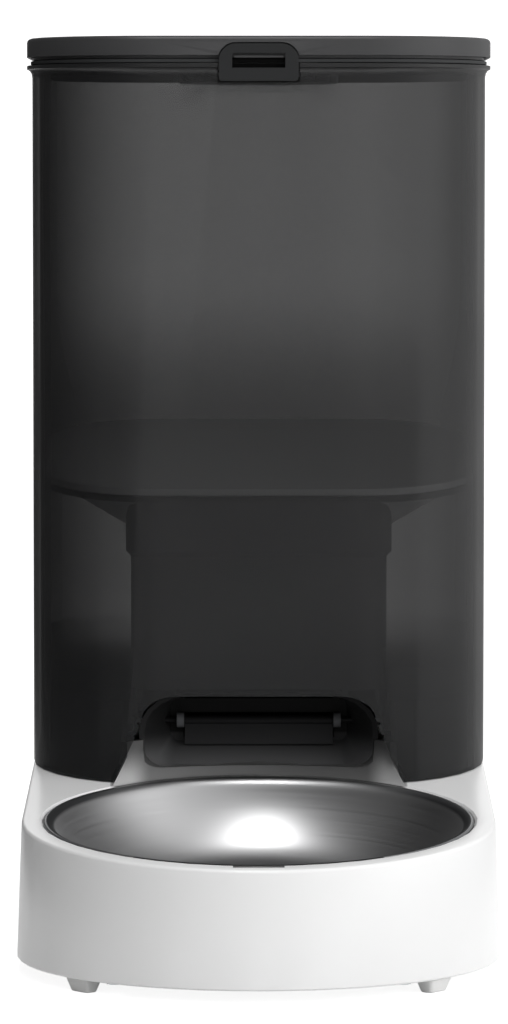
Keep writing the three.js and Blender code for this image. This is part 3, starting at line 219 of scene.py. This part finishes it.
def moulded(node, body, material, edge=mould_edge, crease=crease_angle):
    """A carried-over piece as the mould leaves it: even faces, soft edges and smooth curves."""
    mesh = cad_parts[node].data.copy()
    shape = bmesh.new()
    shape.from_mesh(mesh)
    bmesh.ops.remove_doubles(shape, verts=shape.verts, dist=weld_distance)
    flat = math.radians(flat_angle)
    bmesh.ops.dissolve_limit(shape, angle_limit=flat, verts=shape.verts, edges=shape.edges)
    shape.to_mesh(mesh)
    shape.free()
    piece = bpy.data.objects.new(node + "_moulded", mesh)
    bpy.context.collection.objects.link(piece)
    mesh.materials.clear()
    mesh.materials.append(material)
    mesh.polygons.foreach_set("use_smooth", [True] * len(mesh.polygons))
    mesh.set_sharp_from_angle(angle=math.radians(crease))
    if edge:
        bevel = piece.modifiers.new("mould_edge", "BEVEL")
        bevel.width = edge
        bevel.segments = 2
        bevel.limit_method = "ANGLE"
        bevel.angle_limit = math.radians(crease)
        bevel.harden_normals = True
    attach(piece, body)
    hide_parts(node)
    return piece


cloud_mm = 55.5
gloss_spread = 0.12


def plain_material(name, colour, roughness, bump_mm, grain_mm, mottle, metallic=0.0, ior=1.5, **sockets):
    """A surface with the fine grain of its mould or tool, and a slight unevenness in colour and gloss."""
    made = bpy.data.materials.new(name)
    made.use_nodes = True
    tree = made.node_tree
    tree.nodes.clear()
    place = add_node(tree, "ShaderNodeTexCoord").outputs["Object"]
    cloud = add_node(tree, "ShaderNodeTexNoise", {"Vector": place, "Scale": 1000 / cloud_mm, "Detail": 2.0})
    grain = add_node(tree, "ShaderNodeTexNoise", {"Vector": place, "Scale": 1000 / grain_mm, "Detail": 2.0})
    pale = hex_colour(colour)
    deep = tuple(c * (1 - mottle) for c in pale[:3]) + (1.0,)
    mottled = {"Factor": cloud.outputs[0], "A": deep, "B": pale}
    tone = add_node(tree, "ShaderNodeMix", mottled, data_type="RGBA")
    smoothest = roughness * (1 - gloss_spread)
    roughest = min(1.0, roughness * (1 + gloss_spread))
    shader = add_node(
        tree,
        "ShaderNodeBsdfPrincipled",
        {
            "Base Color": tone.outputs[2],
            "Roughness": shading(tree, [(grain.outputs[0], 0.0, 1.0, smoothest, roughest)], curve="LINEAR"),
            "Metallic": metallic,
        },
    )
    height = {"Height": grain.outputs[0], "Strength": 0.35, "Distance": bump_mm / 1000}
    tree.links.new(add_node(tree, "ShaderNodeBump", height).outputs[0], shader.inputs["Normal"])
    if not metallic:
        shader.inputs["IOR"].default_value = ior
    for socket, value in sockets.items():
        shader.inputs[socket.replace("_", " ")].default_value = value
    add_node(tree, "ShaderNodeOutputMaterial", {"Surface": shader.outputs[0]})
    return made


def tinted(material, where, colour):
    """Lays a colour over a material's own, as much as the value says, and gives back its shader."""
    tree = material.node_tree
    shader = next(node for node in tree.nodes if node.type == "BSDF_PRINCIPLED")
    own = shader.inputs["Base Color"].links[0].from_socket
    over = add_node(tree, "ShaderNodeMix", {"Factor": where, "A": own, "B": colour}, data_type="RGBA")
    tree.links.new(over.outputs[2], shader.inputs["Base Color"])
    return shader


def place_on(tree):
    """Where a point lies on its piece, in metres: its place, how far aside of the middle, along and up."""
    place = add_node(tree, "ShaderNodeTexCoord").outputs["Object"]
    part = add_node(tree, "ShaderNodeSeparateXYZ", {"Vector": place}).outputs
    aside = add_node(tree, "ShaderNodeMath", {0: part["X"]}, operation="ABSOLUTE").outputs[0]
    return {"place": place, "aside": aside, "along": part["Y"], "up": part["Z"]}


# The deck's height is given over the middle of the bowl, and it falls toward the front
bowl_middle = -0.0648
deck_height = 0.052
deck_slope = 0.09


def from_bowl(tree, place):
    """How far a point lies from the upright line through the middle of the bowl."""
    centred = add_node(tree, "ShaderNodeMapping", {"Vector": place, "Location": (0, -bowl_middle, 0)})
    flat = {0: centred.outputs[0], 1: (1, 1, 0)}
    across = add_node(tree, "ShaderNodeVectorMath", flat, operation="MULTIPLY")
    return add_node(tree, "ShaderNodeVectorMath", {0: across.outputs[0]}, operation="LENGTH").outputs["Value"]


# Where the apron starts and ends, each as the place with no grey and the place with all of it
apron_past_well = (0.0736, 0.0738)
apron_within_flares = (0.0529, 0.0521)
apron_from_front = (-0.0122, -0.0098)
apron_to_back = (0.03, 0.028)
# The painted shade is palest at the deck and at the feet of the two flares, and nearly black in the gap to
# the bowl
apron_rise = (0.0, 0.013, 0.37, 0.06)
apron_flares = (0.046, 0.038, 1.0, 0.28)
apron_gap = (-0.0005, 0.0001, 0.03, 1.0)
# The finger notch is a short dent in the front of the well's edge, painted dark as the shade inside it
notch_past_bowl = (0.0785, 0.0783)
notch_half_width = (0.0098, 0.0094)
notch_from_front = (-0.13, -0.1302)
notch_depth = (-0.0002, -0.0005)


def paint_apron_shade(material):
    """Paints shade on the apron between the well and the outlet, where light is lost between it and the dark
    scoop.
    """
    tree = material.node_tree
    spot = place_on(tree)
    aside, along = spot["aside"], spot["along"]
    radius = from_bowl(tree, spot["place"])
    sunk = {0: along, 1: -deck_slope, 2: deck_slope * bowl_middle - deck_height}
    deck = add_node(tree, "ShaderNodeMath", sunk, operation="MULTIPLY_ADD")
    above = add_node(tree, "ShaderNodeMath", {0: spot["up"], 1: deck.outputs[0]}, operation="ADD").outputs[0]
    apron = shading(
        tree,
        [
            (radius, *apron_past_well),
            (aside, *apron_within_flares),
            (along, *apron_from_front),
            (along, *apron_to_back),
        ],
    )
    grey = shading(tree, [(above, *apron_rise), (aside, *apron_flares), (above, *apron_gap)])
    shade = add_node(tree, "ShaderNodeCombineColor", {"Red": grey, "Green": grey, "Blue": grey})
    notch = shading(
        tree,
        [
            (radius, *notch_past_bowl),
            (aside, *notch_half_width),
            (along, *notch_from_front),
            (above, *notch_depth),
        ],
    )
    # Painted shade over the apron
    tinted(material, apron, shade.outputs[0])
    # Painted shade in the finger notch
    tinted(material, notch, hex_colour("5c5c5c"))


# Polished moulds leave ABS with an even satin gloss and almost no grain
white_abs = plain_material(
    "white_abs_satin", "f1f1f1", 0.32, bump_mm=0.006, grain_mm=0.9, mottle=0.012, ior=1.54
)
# Painted shade on the apron and in the finger notch
paint_apron_shade(white_abs)
moulded("base_shell", "base", white_abs, edge=0.00035)


# Underside
# A flat white plate closes the base, with the battery bay and its sliding door, held by four screws and
# standing on four pale silicone feet that taper to the floor. Its spark-eroded mould leaves it matt.
white_plate = plain_material(
    "white_abs_spark_eroded", "e9e9e8", 0.55, bump_mm=0.05, grain_mm=0.8, mottle=0.02
)
moulded("bottom_plate", "base", white_plate)
moulded("battery_door", "door", white_plate)
foot_rubber = plain_material(
    "pale_silicone_rubber", "f2f2f1", 0.75, bump_mm=0.03, grain_mm=0.6, mottle=0.05, ior=1.41
)
for number in range(1, 5):
    moulded(f"foot_{number}", "base", foot_rubber, edge=0.0005)


# Metal hardware
# Screws, the hinge's and the idler's pins, the motor's can and the rotor's shaft are zinc-plated steel,
# bright, with a fine unevenness from drawing and plating.
drawn_steel = plain_material(
    "drawn_steel_zinc_plated", "b9bbbe", 0.3, bump_mm=0.01, grain_mm=0.3, mottle=0.1, metallic=1.0
)
for number in range(1, 5):
    moulded(f"base_screw_{number}", "base", drawn_steel, edge=0.0002, crease=40)
for node in ("lid_hinge_pin", "idler_pin", "gear_motor"):
    moulded(node, "base", drawn_steel, edge=0.0002)
moulded("rotor_shaft", "rotor", drawn_steel)


# Batteries and their contacts
# Four plain cells in lacquered steel jackets lie in two rows, between sprung strips of nickel-plated brass
# with the slight yellow that nickel has.
cell_steel = plain_material(
    "lacquered_steel_jacket", "6f7276", 0.38, bump_mm=0.01, grain_mm=0.5, mottle=0.06, metallic=0.7
)
for number in range(1, 5):
    moulded(f"battery_{number}", "base", cell_steel, edge=0.0006)
nickel = plain_material(
    "nickel_plated_strip", "c9bfa5", 0.28, bump_mm=0.01, grain_mm=0.4, mottle=0.08, metallic=1.0
)
for node in ("contact_front", "contact_rear", "contact_bridge"):
    moulded(node, "base", nickel, edge=0.0)


# Rear panel
# The base's back wall holds a matt black nylon power socket, a satin push button for feeding by hand and a
# clear, glossy acrylic light pipe, all on an upright circuit board under green resist.
board_resist = plain_material("green_solder_resist", "1f5c3a", 0.35, bump_mm=0.02, grain_mm=1.2, mottle=0.15)
moulded("circuit_board", "base", board_resist, edge=0.0)
black_nylon = plain_material("black_nylon_socket", "1b1c1d", 0.45, bump_mm=0.02, grain_mm=0.7, mottle=0.1)
moulded("power_socket", "base", black_nylon, edge=0.0002)
button_abs = plain_material("button_abs_pale", "dcdcdc", 0.4, bump_mm=0.02, grain_mm=0.7, mottle=0.02)
moulded("feed_button", "button", button_abs, edge=0.0005)
light_acrylic = plain_material(
    "light_pipe_acrylic", "e6f2ea", 0.08, bump_mm=0.0, grain_mm=1.0, mottle=0.02, ior=1.49
)
moulded("status_light", "base", light_acrylic)


# Bowl
# The bowl is spun from thin stainless steel with a flat rolled flange, and brushed round and round,
# so its highlights stretch across the marks and its sides mirror the room softly.
bowl_axis = Matrix.Translation((0, bowl_middle, deck_height)) @ Matrix.Rotation(math.atan(deck_slope), 4, "X")
bowl_sheet = 0.0004
wall_sheet_share = 0.3
# Half outline of the inside in millimetres from the axis and above the deck: rolled lip, wall, floor
bowl_inside = [
    (73.9, -1.1), (73.8, -0.5), (73.3, -0.15), (72.6, -0.15), (71.9, -0.4), (71.1, -0.9), (70.3, -1.7),
    (69.6, -2.7), (68.9, -4.1), (67.0, -7.6), (64.7, -11.2), (61.9, -15.0), (58.9, -18.7), (56.2, -21.5),
    (53.2, -24.1), (49.8, -26.2), (45.5, -27.9), (39.0, -29.2), (28.0, -29.8), (14.0, -30.0), (0.0, -30.1),
]


def spun_bowl():
    shape = bmesh.new()
    inner = [(out / 1000, up / 1000) for out, up in bowl_inside]
    outer = [(max(0.0, out - bowl_sheet * wall_sheet_share), up - bowl_sheet) for out, up in inner]
    points = [shape.verts.new((out, 0, up)) for out, up in inner[::-1] + outer]
    edges = [shape.edges.new(pair) for pair in zip(points, points[1:])]
    bmesh.ops.spin(
        shape,
        geom=points + edges,
        cent=(0, 0, 0),
        axis=(0, 0, 1),
        angle=2 * math.pi,
        steps=120,
        use_merge=True,
    )
    bmesh.ops.remove_doubles(shape, verts=shape.verts, dist=weld_distance)
    bmesh.ops.recalc_face_normals(shape, faces=shape.faces)
    bmesh.ops.transform(shape, matrix=bowl_axis, verts=shape.verts)
    mesh = bpy.data.meshes.new("spun_bowl")
    shape.to_mesh(mesh)
    shape.free()
    mesh.polygons.foreach_set("use_smooth", [True] * len(mesh.polygons))
    made = bpy.data.objects.new("spun_bowl", mesh)
    bpy.context.collection.objects.link(made)
    return made


# Brush marks are rings about 0.25 mm apart, drawn at 0.5 mm so that they show
brush_mm = 0.5
# The rolled flange is painted dark at its two sides, a painted reflection of the room that it faces there
flange_sides = (0.03, 0.06)
flange_radius = (0.07, 0.0706)
# Its outer edge at the front lies in the notch's shade
front_edge_radius = (0.0722, 0.07221)
front_edge_along = (-0.125, -0.12501)
brushed_roughness = (0.31, 0.42)


def brushed_steel():
    made = bpy.data.materials.new("brushed_stainless_steel")
    made.use_nodes = True
    tree = made.node_tree
    tree.nodes.clear()
    spot = place_on(tree)
    radius = from_bowl(tree, spot["place"])
    rings = add_node(
        tree,
        "ShaderNodeTexNoise",
        {"W": radius, "Scale": 1000 / brush_mm, "Detail": 3.0},
        noise_dimensions="1D",
    ).outputs[0]
    bump = add_node(tree, "ShaderNodeBump", {"Height": rings, "Strength": 0.1, "Distance": 0.00001})
    tangent = add_node(tree, "ShaderNodeTangent", direction_type="RADIAL", axis="Z")
    flange = shading(tree, [(spot["aside"], *flange_sides), (radius, *flange_radius)], curve="LINEAR")
    edge = shading(tree, [(radius, *front_edge_radius), (spot["along"], *front_edge_along)], curve="LINEAR")
    # The flange's two sides carry a painted dark reflection
    brushed, painted_reflection = hex_colour("cacacb"), hex_colour("828385")
    tone = add_node(tree, "ShaderNodeMix", {"Factor": flange, "A": brushed, "B": painted_reflection}, data_type="RGBA")
    shader = add_node(
        tree,
        "ShaderNodeBsdfPrincipled",
        {
            "Base Color": tone.outputs[2],
            "Metallic": 1.0,
            "Roughness": shading(tree, [(rings, 0.0, 1.0, *brushed_roughness)], curve="LINEAR"),
            "Anisotropic": 0.45,
            "Normal": bump.outputs[0],
            "Tangent": tangent.outputs[0],
        },
    )
    add_node(tree, "ShaderNodeOutputMaterial", {"Surface": shader.outputs[0]})
    tinted(made, edge, hex_colour("4a4a4a"))
    return made


bowl = spun_bowl()
bowl.data.materials.append(brushed_steel())
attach(bowl, "bowl")
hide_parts("bowl")


# Outlet
# The outlet is a charcoal ABS scoop, palest at the lip that the food slides over and darkened further in by
# painted shade, with a loose flap of dark acetal inside it that hangs from two ears.
scoop_depth = (0.0095, 0.0282)
scoop_back_wall = (0.0195, 0.0225)
scoop_roof = (0.0698, 0.073)
scoop_side_walls = (0.0625, 0.0745, 0.0, 0.88)
scoop_mouth = (-0.0068, -0.00679)


def shade_painted_scoop():
    """Charcoal with painted shade: palest at the lip, and darker upward and inward into the scoop."""
    made = plain_material(
        "charcoal_abs_satin", "5c5c5d", 0.6, bump_mm=0.01, grain_mm=0.8, mottle=0.04, Specular_IOR_Level=0.15
    )
    tree = made.node_tree
    spot = place_on(tree)
    along, up = spot["along"], spot["up"]
    shade = shading(tree, [(along, *scoop_depth)])
    back = shading(tree, [(along, *scoop_back_wall), (up, *scoop_roof)], curve="LINEAR")
    walls = shading(tree, [(up, *scoop_side_walls), (along, *scoop_mouth)])
    for other in (back, walls):
        shade = add_node(tree, "ShaderNodeMath", {0: shade, 1: other}, operation="MAXIMUM").outputs[0]
    # Painted shade, darkest deep in the scoop and up under its roof
    tinted(made, shade, hex_colour("040404"))
    return made


ear_inside = (0.0268, 0.02681)
ear_outside = (0.0295, 0.02949)
flap_height = (0.0785, 0.068)


def eared_flap():
    """Dark acetal with a painted highlight on the two ears that carry it, and paler toward its foot."""
    made = plain_material(
        "dark_grey_pom", "161617", 0.6, bump_mm=0.01, grain_mm=0.7, mottle=0.06, Specular_IOR_Level=0.15
    )
    tree = made.node_tree
    spot = place_on(tree)
    ear_highlight = shading(tree, [(spot["aside"], *ear_inside), (spot["aside"], *ear_outside)], curve="LINEAR")
    tinted(made, shading(tree, [(spot["up"], *flap_height)], curve="LINEAR"), hex_colour("2b2b2c"))
    # Painted highlight on the ears
    tinted(made, ear_highlight, hex_colour("5d5e60"))
    return made


moulded("outlet_scoop", "base", shade_painted_scoop())
moulded("outlet_flap", "flap", eared_flap())


# Mechanism
# The cover and the rotor's housing are dark grey ABS mouldings with a fine matt texture, with gears, bushes
# and rotor of natural acetal, waxy and off-white, and a turned brass pinion.
cover_abs = plain_material("grey_abs_textured", "3e3f41", 0.65, bump_mm=0.008, grain_mm=0.9, mottle=0.06)
for node in ("mechanism_cover", "dispenser_barrel", "dispenser_side", "gear_plate"):
    moulded(node, "base", cover_abs)
acetal = plain_material("natural_acetal", "dedbd0", 0.42, bump_mm=0.02, grain_mm=0.7, mottle=0.04, ior=1.48)
acetal_edge = 0.00015
moulded("bush_left", "base", acetal, edge=acetal_edge)
moulded("bush_right", "base", acetal, edge=acetal_edge)
moulded("rotor_gear", "rotor", acetal, edge=acetal_edge)
moulded("idler_gear", "idler", acetal, edge=acetal_edge)
moulded("feed_rotor", "rotor", acetal, edge=acetal_edge)
brass = plain_material("turned_brass", "c6a25a", 0.25, bump_mm=0.01, grain_mm=0.3, mottle=0.08, metallic=1.0)
moulded("motor_pinion", "pinion", brass, edge=0.0001)


# Hopper floor and seals
# The hopper's floor is a smoke-grey polycarbonate moulding that slopes to the rotor, drawn pale with painted
# light so that it shows through the tower's wall. It sits on a matt black silicone seal, and a dark grey one
# closes the lid.
# Painted light: the funnel's colour is near white so that it shows through the smoky tower
funnel_plastic = plain_material(
    "smoke_grey_polycarbonate", "f3f3f4", 0.45, bump_mm=0.01, grain_mm=1.0, mottle=0.05, ior=1.58
)
moulded("hopper_funnel", "base", funnel_plastic)
slot_half_width = (0.0098, 0.00979)
slot_top = (0.3136, 0.31359)
slot_foot = (0.3088, 0.30881)
slot_front = (0.0, -0.00001)


def shade_slot(material):
    """What the clip's slot shows of the lid, its seal and the tower's rim lies in deep shade."""
    tree = material.node_tree
    spot = place_on(tree)
    slot = shading(
        tree,
        [
            (spot["aside"], *slot_half_width),
            (spot["up"], *slot_top),
            (spot["up"], *slot_foot),
            (spot["along"], *slot_front),
        ],
        curve="LINEAR",
    )
    shader = tinted(material, slot, hex_colour("121212"))
    gleam = shader.inputs["Specular IOR Level"]
    own = gleam.links[0].from_socket if gleam.is_linked else gleam.default_value
    lit = add_node(tree, "ShaderNodeMath", {0: 1.0, 1: slot}, operation="SUBTRACT")
    dull = add_node(tree, "ShaderNodeMath", {0: own, 1: lit.outputs[0]}, operation="MULTIPLY")
    tree.links.new(dull.outputs[0], gleam)


black_silicone = plain_material(
    "black_silicone", "101011", 0.7, bump_mm=0.02, grain_mm=0.6, mottle=0.1, ior=1.41
)
moulded("hopper_seal", "base", black_silicone, edge=0.0002)
lid_silicone = plain_material(
    "dark_grey_silicone", "3c3d3e", 0.7, bump_mm=0.01, grain_mm=0.6, mottle=0.1, ior=1.41
)
shade_slot(lid_silicone)
lid_seal = moulded("lid_seal", "lid", lid_silicone, edge=0.0002)
# Squeezed by the lid, the seal swells all round, at the corners that face outward
seal_middle = Vector((0, 0.066, 0))
seal_swell = 0.0012
facing_outward = 0.2
for corner in lid_seal.data.vertices:
    outward = corner.co - seal_middle
    outward.z = 0
    outward.normalize()
    if corner.normal.dot(outward) > facing_outward:
        corner.co += outward * seal_swell


# Tray and tower
# The tray that carries the mechanism is smoke-grey ABS. The tower over it is one deep-drawn box of smoky
# polycarbonate with a faint texture, clear enough to show the hopper's floor, and darker where the eye looks
# along the wall, as in its round corners.
ripple_mm = 40
gloss_swing = 0.15
foot_shade_height = (0.068, 0.12)
shaded_gleam_share = 0.72
edge_on = (0.25, 0.8, 1.0, 0.5)


def smoky(name, colour, clear, rough, gleam, fade=1.3, veil=None):
    """Smoke-tinted plastic: as clear as given face on, less so edge on, and less again under its veil."""
    made = bpy.data.materials.new(name)
    made.use_nodes = True
    tree = made.node_tree
    tree.nodes.clear()
    spot = place_on(tree)
    slant = add_node(tree, "ShaderNodeLayerWeight", {"Blend": 0.5}).outputs["Facing"]
    facing = add_node(tree, "ShaderNodeMath", {0: 1.0, 1: slant}, operation="SUBTRACT")
    falling = add_node(tree, "ShaderNodeMath", {0: facing.outputs[0], 1: fade}, operation="POWER")
    through = add_node(tree, "ShaderNodeMath", {0: falling.outputs[0], 1: clear}, operation="MULTIPLY")
    if veil:
        veiled = {0: through.outputs[0], 1: veil(tree, spot)}
        through = add_node(tree, "ShaderNodeMath", veiled, operation="MULTIPLY")
    cover = add_node(tree, "ShaderNodeMath", {0: 1.0, 1: through.outputs[0]}, operation="SUBTRACT")
    ripple = {"Vector": spot["place"], "Scale": 1000 / ripple_mm, "Detail": 1.0}
    height = add_node(tree, "ShaderNodeTexNoise", ripple).outputs[0]
    bump = add_node(tree, "ShaderNodeBump", {"Height": height, "Strength": 0.2, "Distance": 0.0002})
    gloss = (height, 0.0, 1.0, rough * (1 - gloss_swing), rough * (1 + gloss_swing))
    # Painted shade darkens and dulls the foot of the wall
    unshaded = shading(tree, [(spot["up"], *foot_shade_height)], curve="LINEAR")
    tint = {"Factor": unshaded, "A": hex_colour("161718"), "B": hex_colour(colour)}
    # The mould's texture mats the wall, so its edges gleam less than polished plastic would
    shine = [(unshaded, 0.0, 1.0, gleam * shaded_gleam_share, gleam), (slant, *edge_on)]
    shader = add_node(
        tree,
        "ShaderNodeBsdfPrincipled",
        {
            "Base Color": add_node(tree, "ShaderNodeMix", tint, data_type="RGBA").outputs[2],
            "Roughness": shading(tree, [gloss], curve="LINEAR"),
            "IOR": 1.58,
            "Specular IOR Level": shading(tree, shine, curve="LINEAR"),
            "Alpha": cover.outputs[0],
            "Normal": bump.outputs[0],
        },
    )
    add_node(tree, "ShaderNodeOutputMaterial", {"Surface": shader.outputs[0]})
    return made


tray_clear_from = (0.082, 0.104)


def tray_veil(tree, spot):
    """Painted shade: the tray is drawn solid at its foot and clear above it, so it darkens toward the bottom.
    """
    return shading(tree, [(spot["up"], *tray_clear_from)])


rim_height = (0.308, 0.3092, 1.0, 0.3)
back_wall_along = (0.06, 0.05999)
hopper_height = (0.18, 0.236, 0.5, 1.0)
under_hopper = (0.168, 0.16799, 0.0, 0.78)


def tower_veil(tree, spot):
    """The thick rim is drawn nearly solid, partly as painted shade, and the back wall, seen through the front
    one, is darkened low in the hopper by painted shade.
    """
    along, up = spot["along"], spot["up"]
    rim = shading(tree, [(up, *rim_height)], curve="LINEAR")
    # Painted shade low on the hopper's back wall
    hopper_shade = shading(tree, [(up, *hopper_height)])
    under = shading(tree, [(up, *under_hopper)], curve="LINEAR")
    front = shading(tree, [(along, *back_wall_along)], curve="LINEAR")
    for other in (under, front):
        hopper_shade = add_node(tree, "ShaderNodeMath", {0: hopper_shade, 1: other}, operation="MAXIMUM").outputs[0]
    return add_node(tree, "ShaderNodeMath", {0: rim, 1: hopper_shade}, operation="MULTIPLY").outputs[0]


tray_abs = smoky("smoke_grey_abs_tray", "222324", 0.95, rough=0.65, gleam=0.3, fade=0.5, veil=tray_veil)
moulded("chassis", "base", tray_abs)
tower_smoke = smoky(
    "smoke_tinted_polycarbonate", "1c1c1d", 0.468, rough=0.4, gleam=0.5, fade=0.75, veil=tower_veil
)
shade_slot(tower_smoke)
moulded("tower_shell", "base", tower_smoke)


# Lid
# The lid is the same smoky plastic, thicker at its band, with a clip of dark grey polypropylene in front that
# turns on a black pin, and a knuckle behind. A frosted desiccant holder twists into its underside.
lid_smoke = smoky("smoke_tinted_polycarbonate_thick", "3c3c3d", 0.1, rough=0.45, gleam=0.42)
shade_slot(lid_smoke)
moulded("lid", "lid", lid_smoke)
clip_pp = plain_material(
    "slate_grey_pp_satin", "18191a", 0.55, bump_mm=0.02, grain_mm=0.7, mottle=0.05, Specular_IOR_Level=0.4
)
moulded("lid_latch", "latch", clip_pp, edge=0.0004)
moulded("latch_pin", "base", black_nylon, edge=0.0002)
holder_pp = smoky("frosted_polypropylene", "9a9b9d", 0.9, rough=0.55, gleam=0.3, fade=0.6)
moulded("desiccant_box", "lid", holder_pp)
moulded("desiccant_cap", "cap", holder_pp)
